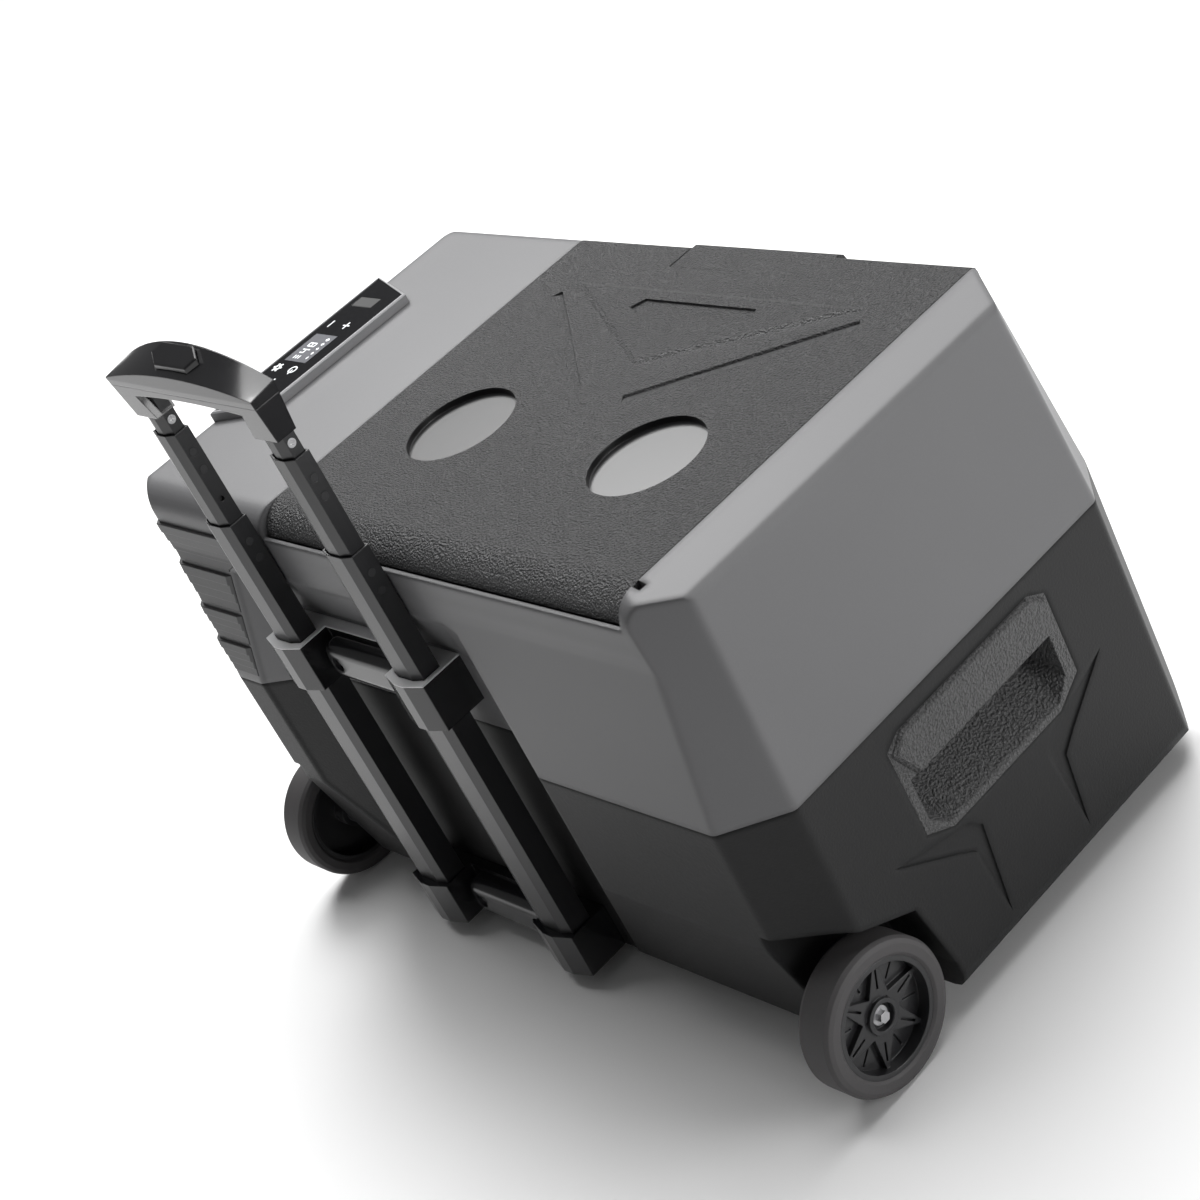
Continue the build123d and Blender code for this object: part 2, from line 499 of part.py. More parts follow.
def bracket(z0, z1, capped):
    """Moulded cross-piece that clamps both fixed tubes to the housing."""
    piece = None
    for x in TUBE_X:
        clamp = prism_z(clamp_plan(x), z0, z1)
        piece = clamp if piece is None else piece + clamp
    span = box(TUBE_X[0] + 21.0, TUBE_X[1] - 21.0, POCKET_FLOOR_Y, POCKET_FLOOR_Y + 8.0, z0 + 1.5, z1)
    pillow = box(TUBE_X[0] + 24.5, TUBE_X[1] - 24.5, POCKET_FLOOR_Y, POCKET_FLOOR_Y + 23.0,
                 z0 + 2.0, z1 - 2.5)
    pillow = fillet(pillow.edges().filter_by(Axis.Y), 12.0)
    pillow = fillet(pillow.faces().sort_by(Axis.Y)[-1].edges(), 9.0)
    piece += span
    piece += pillow
    for x in TUBE_X:
        piece -= prism_z(section(OUTER_HX, OUTER_HY, x), z0 - 1.0, z1 + 1.0)
    if capped:
        cap = box(TUBE_X[0] - 21.5, TUBE_X[1] + 21.5, POCKET_FLOOR_Y, POCKET_FLOOR_Y + 9.0, z1, z1 + 1.4)
        for x in TUBE_X:
            cap += prism_z(clamp_plan(x), z1, z1 + 1.4)
        for x in TUBE_X:
            cap -= prism_z(section(OUTER_HX - STEP_X + 0.4, OUTER_HY - STEP_Y + 0.4, x), z1 - 1.0, z1 + 3.0)
        piece += cap
    for x in SCREW_X:
        piece -= rod_y(x, POCKET_FLOOR_Y - 1.0, POCKET_FLOOR_Y + 30.0, (z0 + z1) / 2, 2.5)
        piece -= rod_y(x, POCKET_FLOOR_Y + 17.0, POCKET_FLOOR_Y + 30.0, (z0 + z1) / 2, 5.6)
    return piece


def cross_screw(x, y_seat, z):
    """Pan-head screw along Y with a cross recess."""
    screw = rod_y(x, y_seat, y_seat + 3.2, z, 4.8)
    screw = fillet(screw.edges().filter_by(GeomType.CIRCLE).sort_by(Axis.Y)[-1], 1.2)
    screw += rod_y(x, y_seat - 24.0, y_seat, z, 2.5)
    screw -= box(x - 0.6, x + 0.6, y_seat + 1.6, y_seat + 5, z - 2.8, z + 2.8)
    screw -= box(x - 2.8, x + 2.8, y_seat + 1.6, y_seat + 5, z - 0.6, z + 0.6)
    return screw


SCREW_X = (33.6, 101.0)
lower_bracket = bracket(*BRACKET_Z[0], False)
upper_bracket = bracket(*BRACKET_Z[1], True)
bracket_screws = []
for z0, z1 in BRACKET_Z:
    for x in SCREW_X:
        screw = cross_screw(x, POCKET_FLOOR_Y + 17.0, (z0 + z1) / 2)
        bracket_screws.append(screw)
        hole = rod_y(x, 130.0, POCKET_FLOOR_Y + 1.0, (z0 + z1) / 2, 2.5)
        upper_housing -= hole
        lower_housing -= hole

outer_tubes = [tube(0, *OUTER_Z, x) for x in TUBE_X]
stage1 = [tube(1, *STAGE1_Z, x) for x in TUBE_X]
stage2 = [tube(2, *STAGE2_Z, x) for x in TUBE_X]
stage3 = [tube(3, *STAGE3_Z, x) for x in TUBE_X]
guides1 = [guide(1, STAGE1_Z[0], x) for x in TUBE_X]
guides2 = [guide(2, STAGE2_Z[0], x) for x in TUBE_X]
guides3 = [guide(3, STAGE3_Z[0], x) for x in TUBE_X]


def side_discs(stage, heights, radius, proud):
    """Round plugs let into the -X flank of both tubes of a stage."""
    discs = []
    hx = OUTER_HX - STEP_X * stage
    for x in TUBE_X:
        for z in heights:
            discs.append(rod_x(x - hx - proud, x - hx + TUBE_WALL_X, TUBE_Y - 0.8, z, radius))
    return discs


plugs1 = side_discs(1, (STAGE1_Z[1] - 17.0, STAGE1_Z[1] - 31.0), 2.9, 0.15)
plugs2 = side_discs(2, (STAGE2_Z[1] - 17.0, STAGE2_Z[1] - 31.0), 2.9, 0.15)
screws3 = side_discs(3, (459.7, 446.6), 3.1, 0.15)
stage1 = [s - parts_of(plugs1) for s in stage1]
stage2 = [s - parts_of(plugs2) for s in stage2]
stage3 = [s - parts_of(screws3) for s in stage3]
lock_hole = rod_x(TUBE_X[1] - 20.0, TUBE_X[1] - 8.0, TUBE_Y - 0.8, 395.0, 2.0)
stage2 = [s - lock_hole for s in stage2]


def slotted(disc):
    """Cross recess in a flat screw head facing -X."""
    c = disc.bounding_box().center()
    x0 = disc.bounding_box().min.X
    disc -= box(x0 - 1, x0 + 0.6, c.Y - 1.9, c.Y + 1.9, c.Z - 0.45, c.Z + 0.45)
    disc -= box(x0 - 1, x0 + 0.6, c.Y - 0.45, c.Y + 0.45, c.Z - 1.9, c.Z + 1.9)
    return disc


screws3 = [slotted(d) for d in screws3]

# grip: an arched bridge over both columns, higher along its rear edge
def grip_wire(y, crown, shoulder):
    """Closed outline of the grip in one XZ plane."""
    with BuildLine(Plane(origin=(GRIP_X, y, 0), x_dir=(1, 0, 0), z_dir=(0, -1, 0))) as outline:
        ThreePointArc((-90.6, shoulder), (0, crown), (90.6, shoulder))
        Polyline((90.6, shoulder), (87.0, 466.0), (60.3, 466.0), (66.5, 485.5))
        ThreePointArc((66.5, 485.5), (0, 488.5), (-66.5, 485.5))
        Polyline((-66.5, 485.5), (-60.3, 466.0), (-87.0, 466.0), (-90.6, shoulder))
    return Wire(outline.edges())


GRIP_FRONT, GRIP_BACK = 177.0, 156.6
grip = Solid.make_loft([grip_wire(GRIP_FRONT, 507.5, 499.0), grip_wire(GRIP_BACK, 520.5, 501.5)], ruled=True)
grip_side = [(158.2, 460), (172.6, 460), (177.2, 499), (177.5, 530), (156.0, 530), (156.4, 499)]
grip &= prism_x(grip_side, -60.0, 200.0)
for x in TUBE_X:
    grip -= prism_z(section(OUTER_HX - 3 * STEP_X, OUTER_HY - 3 * STEP_Y, x), 460.0, STAGE3_Z[1])
    grip -= rod_z(x, TUBE_Y, 480.0, 497.0, 2.8)
grip -= box(GRIP_X - 77.0, GRIP_X + 77.0, TUBE_Y - 5.0, TUBE_Y + 5.0, 492.4, 500.2)


def button_plan(grow):
    """Elongated hexagon of the release button."""
    a, b, h = 28.0 + grow, 19.0 + grow / 2, 6.6 + grow
    return [(GRIP_X - a, TUBE_Y + 0.5), (GRIP_X - b, TUBE_Y + 0.5 + h), (GRIP_X + b, TUBE_Y + 0.5 + h),
            (GRIP_X + a, TUBE_Y + 0.5), (GRIP_X + b, TUBE_Y + 0.5 - h), (GRIP_X - b, TUBE_Y + 0.5 - h)]


grip -= prism_z(button_plan(0.35), 495.2, 540.0)
grip_base = grip & box(-60.0, 200.0, 150.0, 190.0, 460.0, 493.0)
grip_cover = grip & box(-60.0, 200.0, 150.0, 190.0, 493.0, 540.0)
button = prism_z(button_plan(0.0), 499.0, 540.0)
slope = math.degrees(math.atan2(13.0, GRIP_FRONT - GRIP_BACK))
trim_z = 517.6 + 20.0 / math.cos(math.radians(slope))
trim = Pos(GRIP_X, TUBE_Y + 0.5, trim_z) * Rot(-slope, 0, 0) * Box(90, 90, 40)
button -= trim
button = chamfer(button.faces().sort_by(Axis.Z)[-1].edges(), 0.8)
release_yoke = box(GRIP_X - 75.8, GRIP_X + 75.8, TUBE_Y - 3.5, TUBE_Y + 3.5, 496.4, 499.0)
release_rods = [rod_z(x, TUBE_Y, 280.0, 496.4, 2.0) for x in TUBE_X]

# ---- wheels -------------------------------------------------------------------
def ring_profile(points, x_face, y, z):
    """Solid of revolution about the wheel axis; points are (depth from outer face, radius)."""
    wire = Wire.make_polygon([Vector(x_face + d, y, z + r) for d, r in points], close=True)
    return revolve(Face(wire), axis=Axis((x_face, y, z), (1, 0, 0)), revolution_arc=360)


FACE = -WHEEL_FACE_X
tyre_points = [(1.5, 39.0), (0.0, 41.0), (0.0, 46.5), (1.2, 49.4), (4.0, 51.0), (WHEEL_W - 4.0, 51.0),
               (WHEEL_W - 1.2, 49.4), (WHEEL_W, 46.5), (WHEEL_W, 41.0), (WHEEL_W - 1.5, 39.0)]
tyre = ring_profile(tyre_points, FACE, WHEEL_Y, WHEEL_Z)
rim_points = [(1.5, 39.0), (1.5, 35.5), (WHEEL_W - 1.5, 35.5), (WHEEL_W - 1.5, 39.0)]
rim = ring_profile(rim_points, FACE, WHEEL_Y, WHEEL_Z)
web = ring_profile([(11.0, 6.0), (11.0, 36.0), (15.0, 36.0), (15.0, 6.0)], FACE, WHEEL_Y, WHEEL_Z)
boss = ring_profile([(4.5, 9.0), (4.5, 12.0), (WHEEL_W - 2.0, 12.0), (WHEEL_W - 2.0, AXLE_R + 0.08),
                     (9.5, AXLE_R + 0.08), (9.5, 9.0)], FACE, WHEEL_Y, WHEEL_Z)
hub = rim + web + boss
for i in range(6):
    turn = Pos(0, WHEEL_Y, WHEEL_Z) * Rot(60.0 * i + 20.0, 0, 0)
    point = [(-8.5, 11.0), (8.5, 11.0), (1.2, 35.8), (-1.2, 35.8)]
    hub += turn * prism_x(point, FACE + 7.0, FACE + 12.0)
    hub -= turn * box(FACE + 2.0, FACE + 9.5, -0.8, 0.8, 18.0, 31.0)
    hub -= turn * Rot(30.0, 0, 0) * box(FACE + 2.0, FACE + 12.2, -0.7, 0.7, 22.0, 33.0)
hub = hub - ring_profile([(-1.0, 0.0), (-1.0, 9.0), (9.5, 9.0), (9.5, 0.0)], FACE, WHEEL_Y, WHEEL_Z)
axle = rod_x(FACE + 9.0, -250.0, WHEEL_Y, WHEEL_Z, AXLE_R)
washer = rod_x(FACE + 8.0, FACE + 9.2, WHEEL_Y, WHEEL_Z, 6.4)
hexagon = []
for i in range(6):
    angle = math.radians(60.0 * i)
    hexagon.append((WHEEL_Y + 4.1 * math.cos(angle), WHEEL_Z + 4.1 * math.sin(angle)))
axle = axle + washer + prism_x(hexagon, FACE + 3.6, FACE + 8.2)
axle += rod_x(-254.0, -249.0, WHEEL_Y, WHEEL_Z, 6.8)
spacer = rod_x(FACE + WHEEL_W - 1.7, -POCKET_X, WHEEL_Y, WHEEL_Z, 8.0)
spacer -= rod_x(-300, -250, WHEEL_Y, WHEEL_Z, AXLE_R)

front_feet = []
for fx in (-235.0, 235.0):
    foot = rod_z(fx, -135.0, 0.0, Z_BOTTOM, 15.0)
    front_feet.append(chamfer(foot.faces().sort_by(Axis.Z)[0].edges(), 2.5))

# ---- lid ----------------------------------------------------------------------
lid_side = [(-180.6, SKIRT_Z), (-179.4, 365.0), (-178.4, 368.6), (-175.6, Z_TOP)]
lid_side += arc_points(HINGE_Y, HINGE_Z, ROLL_R, 90, 17, 12)
lid_side += [(146.0, 350.0), (138.0, 340.5), (127.5, 337.0), (117.0, 340.5), (110.0, SKIRT_Z)]
lid_outer = prism_x(lid_side, *LID_X)
cavity = box(LID_X[0] + 3, LID_X[1] - 3, -175.0, 105.0, SKIRT_Z - 1.0, Z_TOP - 3.2)
TAB_X = (LID_MID - 71.0, LID_MID + 71.0)
for cx in CUP_X:
    cavity -= rod_z(cx, CUP_Y, Z_TOP - CUP_DEPTH - 3.0, Z_TOP, CUP_R + 3.0)
cavity -= box(TAB_X[0] - 3, TAB_X[1] + 3, -180.0, -150.0, 355.0, Z_TOP)
lid_shell = lid_outer - cavity
for cx in CUP_X:
    lid_shell -= rod_z(cx, CUP_Y, Z_TOP - CUP_DEPTH, Z_TOP + 1.0, CUP_R)


def lid_points(points):
    """Mirror a half outline about the lid's middle; points are (offset from middle, y)."""
    right = [(LID_MID + x, y) for x, y in points]
    left = [(LID_MID - x, y) for x, y in reversed(points) if x != 0]
    return right + left


# raised triangle with sloping sides and a blank badge recess in it
with BuildSketch(Plane.XY.offset(Z_TOP - 0.2)) as field:
    Polygon((LID_MID, -47.0), (LID_MID - 147.0, -128.0), (LID_MID + 147.0, -128.0), align=None)
lid_shell += extrude(field.sketch, amount=1.6, taper=70.0)
badge = lid_points([(0, -86.0), (33.0, -92.0), (61.0, -104.0), (55.0, -114.5)])
lid_shell -= prism_z(badge, Z_TOP - 0.2, Z_TOP + 4.0)
# grooves beside it: steep towards the triangle, running out on the far side
groove = prism_x([(8.5, 0.4), (8.5, 0.0), (0.0, -1.8), (-1.0, 0.4)], -80.0, 80.0)
for s in (-1, 1):
    lid_shell -= Pos(LID_MID + s * 85.0, -66.0, Z_TOP) * Rot(0, 0, -37.6 * s) * groove
lid_shell -= box(TAB_X[0], TAB_X[1], -200.0, -153.0, 358.5, 380.0)
lid_shell -= rod_x(LID_X[0] - 1, LID_X[0] + 16.0, HINGE_Y, HINGE_Z, HINGE_PIN_R + 0.06)
lid_shell -= rod_x(LID_X[1] - 16.0, LID_X[1] + 1, HINGE_Y, HINGE_Z, HINGE_PIN_R + 0.06)
pins = [rod_x(PIN_X[0], LID_X[0] + 15.0, HINGE_Y, HINGE_Z, HINGE_PIN_R),
        rod_x(LID_X[1] - 15.0, PIN_X[1], HINGE_Y, HINGE_Z, HINGE_PIN_R)]

lid_foam = cavity & box(-300, 200, -200, 200, LID_Z + 3.0, 380.0)
lid_liner = cavity & box(-300, 200, -200, 200, LID_Z, LID_Z + 3.0)
plug = box(CABIN_X[0] + 14, CABIN_X[1] - 14, CABIN_Y[0] + 14, CABIN_Y[1] - 14, 330.0, LID_Z)
plug = fillet(plug.edges().filter_by(Axis.Z), 10.0)
lid_liner += plug
gasket = box(CABIN_X[0] - 7, CABIN_X[1] + 7, CABIN_Y[0] - 7, CABIN_Y[1] + 7, DECK_Z + 2.6, LID_Z)
gasket = fillet(gasket.edges().filter_by(Axis.Z), 12.0)
gasket_hole = box(CABIN_X[0] + 3, CABIN_X[1] - 3, CABIN_Y[0] + 3, CABIN_Y[1] - 3, 330.0, 360.0)
gasket -= fillet(gasket_hole.edges().filter_by(Axis.Z), 9.0)

# ---- latch --------------------------------------------------------------------
LATCH_Y, LATCH_Z = -156.8, 364.0
latch_side = [(-153.8, 370.0), (-153.8, 360.0), (-178.6, 360.0), (-182.0, 358.8), (-184.9, 322.0),
              (-185.9, 318.5), (-189.0, 317.5), (-190.6, 321.0), (-185.4, 362.0), (-183.8, 367.6),
              (-180.5, 370.0)]
latch = prism_x(latch_side, TAB_X[0] + 0.6, TAB_X[1] - 0.6)
latch_groove = [(-176.0, 359.0), (-176.0, 363.0), (-161.5, 363.0), (-161.5, 359.0)]
latch -= prism_x(latch_groove, TAB_X[0] + 8, TAB_X[1] - 8)
latch -= rod_x(TAB_X[0] - 1, TAB_X[1] + 1, LATCH_Y, LATCH_Z, 1.55)
latch_pin = rod_x(TAB_X[0] - 8.0, TAB_X[1] + 8.0, LATCH_Y, LATCH_Z, 1.5)
lid_shell -= latch_pin
latch_relief = rod_x(TAB_X[0], TAB_X[1], LATCH_Y, LATCH_Z, 7.2)
lid_shell -= latch_relief
lid_foam -= latch_pin
# ---- hand over ----------------------------------------------------------------
NODES = {
    "upper_housing": upper_housing,
    "lower_housing": lower_housing,
    "cabin_liner": cabin_liner,
    "insulation_foam": insulation_foam,
    "evaporator_coil": evaporator_coil,
    "partition_panel": partition,
    "base_plate": base_plate,
    "compressor": compressor,
    "compressor_controller": compressor_box,
    "compressor_grommets": parts_of(grommets),
    "condenser": condenser,
    "fan_frame": fan_frame,
    "fan_rotor": fan_rotor,
    "control_board": control_board,
    "filter_drier": filter_drier,
    "refrigerant_pipes": parts_of(pipes),
    "vent_grille": vent_grille,
    "vent_louvres": parts_of(louvres),
    "console_bezel": console_body,
    "console_glass": glass,
    "console_display": display,
    "console_icons": parts_of(icons),
    "usb_socket": usb_socket,
    "usb_flap": usb_flap,
    "dc_socket": dc_socket,
    "dc_contacts": parts_of(contacts),
    "carry_handle_plain_end": carry_handle,
    "carry_handle_console_end": carry_other,
    "upper_bracket": upper_bracket,
    "lower_bracket": lower_bracket,
    "bracket_screws": parts_of(bracket_screws),
    "outer_tubes": parts_of(outer_tubes),
    "stage1_tubes": parts_of(stage1),
    "stage1_guides": parts_of(guides1),
    "stage1_plugs": parts_of(plugs1),
    "stage2_tubes": parts_of(stage2),
    "stage2_guides": parts_of(guides2),
    "stage2_plugs": parts_of(plugs2),
    "stage3_tubes": parts_of(stage3),
    "stage3_guides": parts_of(guides3),
    "stage3_screws": parts_of(screws3),
    "grip_base": grip_base,
    "grip_cover": grip_cover,
    "release_button": button,
    "release_yoke": release_yoke,
    "release_rods": parts_of(release_rods),
    "wheel_tyre_plain_end": tyre,
    "wheel_hub_plain_end": hub,
    "wheel_tyre_console_end": mirror_x(tyre),
    "wheel_hub_console_end": mirror_x(hub),
    "axle_bolts": parts_of([axle, mirror_x(axle)]),
    "axle_spacers": parts_of([spacer, mirror_x(spacer)]),
    "front_feet": parts_of(front_feet),
    "hinge_pins": parts_of(pins),
    "lid_shell": lid_shell,
    "lid_foam": lid_foam,
    "lid_liner": lid_liner,
    "lid_gasket": gasket,
    "lid_latch": latch,
    "latch_pin": latch_pin,
}
os.makedirs("parts", exist_ok=True)
for name, shape in NODES.items():
    export_step(shape, f"parts/{name}.step")
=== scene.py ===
"""Portable compressor cooler with pull handle: finishes, small trim, light and camera."""

import bmesh
import bpy
from mathutils import Matrix, Vector


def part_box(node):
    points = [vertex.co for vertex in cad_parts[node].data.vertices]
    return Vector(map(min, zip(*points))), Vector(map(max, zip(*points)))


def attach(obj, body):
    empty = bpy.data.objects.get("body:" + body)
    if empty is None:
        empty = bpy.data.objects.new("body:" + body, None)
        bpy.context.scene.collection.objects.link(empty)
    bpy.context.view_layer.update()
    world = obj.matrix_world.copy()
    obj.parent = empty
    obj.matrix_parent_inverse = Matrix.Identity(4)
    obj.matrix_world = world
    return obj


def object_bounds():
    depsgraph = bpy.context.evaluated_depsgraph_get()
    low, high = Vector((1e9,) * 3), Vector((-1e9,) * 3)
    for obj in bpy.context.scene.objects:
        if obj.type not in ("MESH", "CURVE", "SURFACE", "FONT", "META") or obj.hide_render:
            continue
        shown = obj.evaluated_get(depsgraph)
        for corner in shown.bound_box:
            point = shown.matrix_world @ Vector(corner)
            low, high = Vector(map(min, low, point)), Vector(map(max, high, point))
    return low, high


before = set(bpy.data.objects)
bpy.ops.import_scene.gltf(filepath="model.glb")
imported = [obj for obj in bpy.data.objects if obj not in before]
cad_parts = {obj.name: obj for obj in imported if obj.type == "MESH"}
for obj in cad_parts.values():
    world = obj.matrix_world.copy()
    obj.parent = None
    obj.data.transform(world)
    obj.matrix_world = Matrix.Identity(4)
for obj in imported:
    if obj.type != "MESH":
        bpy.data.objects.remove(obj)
cad_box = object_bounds()


# ---- shader arithmetic --------------------------------------------------------
class Value:
    """A shader socket that takes part in ordinary arithmetic."""

    def __init__(self, recipe, socket):
        self.recipe = recipe
        self.socket = socket

    def _math(self, operation, first, second):
        node = self.recipe.node("ShaderNodeMath", {"operation": operation}, {0: first, 1: second})
        return Value(self.recipe, node.outputs[0])

    def __add__(self, other):
        return self._math("ADD", self, other)

    __radd__ = __add__

    def __sub__(self, other):
        return self._math("SUBTRACT", self, other)

    def __rsub__(self, other):
        return self._math("SUBTRACT", other, self)

    def __mul__(self, other):
        return self._math("MULTIPLY", self, other)

    __rmul__ = __mul__

    def __gt__(self, other):
        return self._math("GREATER_THAN", self, other)

    def __lt__(self, other):
        return self._math("LESS_THAN", self, other)

    def power(self, exponent):
        return self._math("POWER", self, exponent)


class Recipe:
    """One procedural finish under construction."""

    def __init__(self, name):
        self.material = bpy.data.materials.new(name)
        self.material.use_nodes = True
        self.tree = self.material.node_tree
        self.tree.nodes.clear()
        self.position = self.node("ShaderNodeTexCoord").outputs["Object"]

    def node(self, kind, settings=None, sockets=None):
        """Add a node: settings first, then socket values or links."""
        made = self.tree.nodes.new(kind)
        for key, setting in (settings or {}).items():
            setattr(made, key, setting)
        for key, given in (sockets or {}).items():
            given = getattr(given, "socket", given)
            if isinstance(given, bpy.types.NodeSocket):
                self.tree.links.new(given, made.inputs[key])
            else:
                made.inputs[key].default_value = given
        return made

    def noise(self, scale, detail=3.0, roughness=0.5, stretch=(1, 1, 1)):
        place = self.node("ShaderNodeMapping", None, {"Vector": self.position, "Scale": stretch})
        made = self.node("ShaderNodeTexNoise", None, {
            "Vector": place.outputs[0], "Scale": scale, "Detail": detail, "Roughness": roughness})
        return Value(self, made.outputs[0])

    def cells(self, scale):
        made = self.node("ShaderNodeTexVoronoi", {"feature": "F1"}, {
            "Vector": self.position, "Scale": scale})
        return Value(self, made.outputs[0])

    def axis(self, letter):
        split = self.node("ShaderNodeSeparateXYZ", None, {0: self.position})
        return Value(self, split.outputs[letter])

    def blend(self, mask, low, high):
        """Mix two colours by a mask."""
        made = self.node("ShaderNodeMix", {"data_type": "RGBA"}, {0: mask, 6: (*low, 1), 7: (*high, 1)})
        return made.outputs[2]

    def edge_convexity(self):
        """Pointiness: slightly higher on outside edges, lower in creases."""
        made = self.node("ShaderNodeNewGeometry")
        return Value(self, made.outputs["Pointiness"])

    def surface(self, colour, roughness, height=None, strength=0.3, distance=0.0004, edge=0.0009, **fixed):
        """Principled surface with softened edges and an optional relief."""
        sockets = {"Base Color": colour, "Roughness": roughness}
        normal = self.node("ShaderNodeBevel", {"samples": 4}, {"Radius": edge}).outputs[0] if edge else None
        if height is not None:
            bump_in = {"Height": height, "Strength": strength, "Distance": distance}
            if normal:
                bump_in["Normal"] = normal
            normal = self.node("ShaderNodeBump", None, bump_in).outputs[0]
        if normal:
            sockets["Normal"] = normal
        sockets.update({key.replace("_", " "): setting for key, setting in fixed.items()})
        shader = self.node("ShaderNodeBsdfPrincipled", None, sockets)
        self.node("ShaderNodeOutputMaterial", None, {"Surface": shader.outputs[0]})
        return self.material


# ---- finishes -----------------------------------------------------------------
def grained_plastic(name, dark, light, rough, grain, depth, edge=0.0010, gloss=0.4):
    """Moulded plastic with a fine spark-eroded grain."""
    recipe = Recipe(name)
    grains = recipe.noise(grain, 2.0, 0.6)
    cloud = recipe.noise(5.0, 2.0)
    edge_convexity = recipe.edge_convexity()
    # Colour is lighter on convex edges and darker in creases, following the edge convexity.
    colour = recipe.blend(cloud * 0.55 + grains * 0.25 + edge_convexity * 0.3, dark, light)
    return recipe.surface(colour, grains * 0.14 + rough, grains, depth, 0.0003, edge,
                          Specular_IOR_Level=gloss)


def pebbled_plastic(name, dark, light, rough, smooth=None, scale=640.0, edge=0.0014):
    """Coarse leather-like pebble, left smooth where a mask says so."""
    recipe = Recipe(name)
    pebble = recipe.noise(scale, 2.0, 0.45) * 1.6 - 0.3
    fine = recipe.noise(scale * 2.3, 1.0, 0.5) * 0.4
    keep = 1.0 if smooth is None else 1.0 - smooth(recipe)
    height = (pebble + fine) * keep
    colour = recipe.blend(pebble * keep * 0.85 + recipe.noise(6.0, 2.0) * 0.15, dark, light)
    return recipe.surface(colour, pebble * keep * 0.16 + rough, height, 1.0, 0.0018, edge)


def gloss_plastic(name, dark, light, rough=0.16):
    """Polished moulding with faint flow ripples and handling marks."""
    recipe = Recipe(name)
    ripples = recipe.noise(38.0, 1.0, 0.4)
    marks = recipe.noise(900.0, 1.0, 0.7, (1, 0.12, 1))
    colour = recipe.blend(ripples * 0.5 + marks * 0.2, dark, light)
    return recipe.surface(colour, marks * 0.07 + rough, ripples, 0.05, 0.0004, 0.0012,
                          Coat_Weight=0.25, Coat_Roughness=0.12)


def gloss_with_pale_cap_painted_light(name, height):
    """Gloss black moulding whose flat top plate is pale satin; the plate colour is raised to near white as
    painted light, standing in for light that the housing blocks.
    """
    recipe = Recipe(name)
    cap_painted_light = recipe.axis("Z") > height
    ripples = recipe.noise(38.0, 1.0, 0.4)
    # Top plate colour 0.80: partly the pale cap, partly painted light where the housing shades the top
    # face.
    colour = recipe.blend(cap_painted_light, (0.011, 0.011, 0.012), (0.80, 0.80, 0.81))
    return recipe.surface(colour, cap_painted_light * 0.25 + ripples * 0.08 + 0.13, ripples, 0.04, 0.0004, 0.0012)


def coated_tube(name):
    """Black powder-coated tube with drawn lines along its length."""
    recipe = Recipe(name)
    lines = recipe.noise(600.0, 2.0, 0.6, (1, 1, 0.01))
    specks = recipe.noise(1500.0, 1.0, 0.5)
    colour = recipe.blend(lines * 0.5 + specks * 0.3, (0.010, 0.010, 0.011), (0.026, 0.026, 0.028))
    return recipe.surface(colour, specks * 0.12 + 0.27, specks, 0.12, 0.0002, 0.0008)


def rubber(name, dark, light, rough=0.72, scale=700.0):
    """Dull rubber with bloom and fine pits."""
    recipe = Recipe(name)
    pits = recipe.noise(scale, 3.0, 0.65)
    bloom = recipe.noise(22.0, 3.0, 0.6)
    colour = recipe.blend(bloom * 0.6 + pits * 0.3, dark, light)
    return recipe.surface(colour, bloom * 0.12 + rough - 0.06, pits, 0.2, 0.0003, 0.0010)


def metal(name, dark, light, rough, stretch=(1, 1, 0.02), edge=0.0003):
    """Drawn or turned metal with fine lines in one direction."""
    recipe = Recipe(name)
    lines = recipe.noise(900.0, 3.0, 0.6, stretch)
    stain = recipe.noise(30.0, 3.0)
    colour = recipe.blend(lines * 0.6 + stain * 0.3, dark, light)
    return recipe.surface(colour, lines * 0.16 + rough, lines, 0.1, 0.0001, edge, Metallic=1.0)


def foam_finish(name):
    """Closed-cell foam with a cut, cellular face."""
    recipe = Recipe(name)
    cells = recipe.cells(420.0)
    tone = recipe.noise(14.0, 4.0, 0.6)
    colour = recipe.blend(tone * 0.6 + cells * 0.5, (0.62, 0.52, 0.30), (0.86, 0.78, 0.56))
    return recipe.surface(colour, cells * 0.1 + 0.8, cells, 0.5, 0.0008, None)


def board_finish(name):
    """Solder-masked board with copper tracks showing through."""
    recipe = Recipe(name)
    across, up = recipe.axis("Y"), recipe.axis("Z")
    weave = recipe.node("ShaderNodeTexBrick", {"offset": 0.5}, {
        "Vector": recipe.node("ShaderNodeCombineXYZ", None, {0: across, 1: up}).outputs[0],
        "Scale": 110.0, "Mortar Size": 0.04}).outputs["Fac"]
    colour = recipe.blend(Value(recipe, weave) * 0.8, (0.010, 0.075, 0.030), (0.03, 0.20, 0.09))
    return recipe.surface(colour, recipe.noise(80.0) * 0.1 + 0.3, weave, 0.2, 0.0001, 0.0003)


def glass_finish(name):
    """Back-painted black glass with faint dust."""
    recipe = Recipe(name)
    dust = recipe.noise(300.0, 4.0, 0.7).power(6.0)
    colour = recipe.blend(dust, (0.004, 0.004, 0.005), (0.05, 0.05, 0.055))
    return recipe.surface(colour, dust * 0.5 + 0.06, None, edge=0.0004, Specular_IOR_Level=0.35)


def lit_print(name, colour, strength):
    """Back-lit print: brighter over the lamps behind it."""
    recipe = Recipe(name)
    lamps = recipe.noise(90.0, 1.0)
    glow = recipe.blend(lamps, tuple(0.75 * c for c in colour), colour)
    return recipe.surface(glow, lamps * 0.1 + 0.4, None, edge=None,
                          Emission_Color=glow, Emission_Strength=strength)


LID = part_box("lid_shell")
LID_MID_X = (LID[0][0] + LID[1][0]) / 2
CUP_OFFSET, CUP_Y, CUP_RADIUS = 0.0957, 0.032, 0.0402


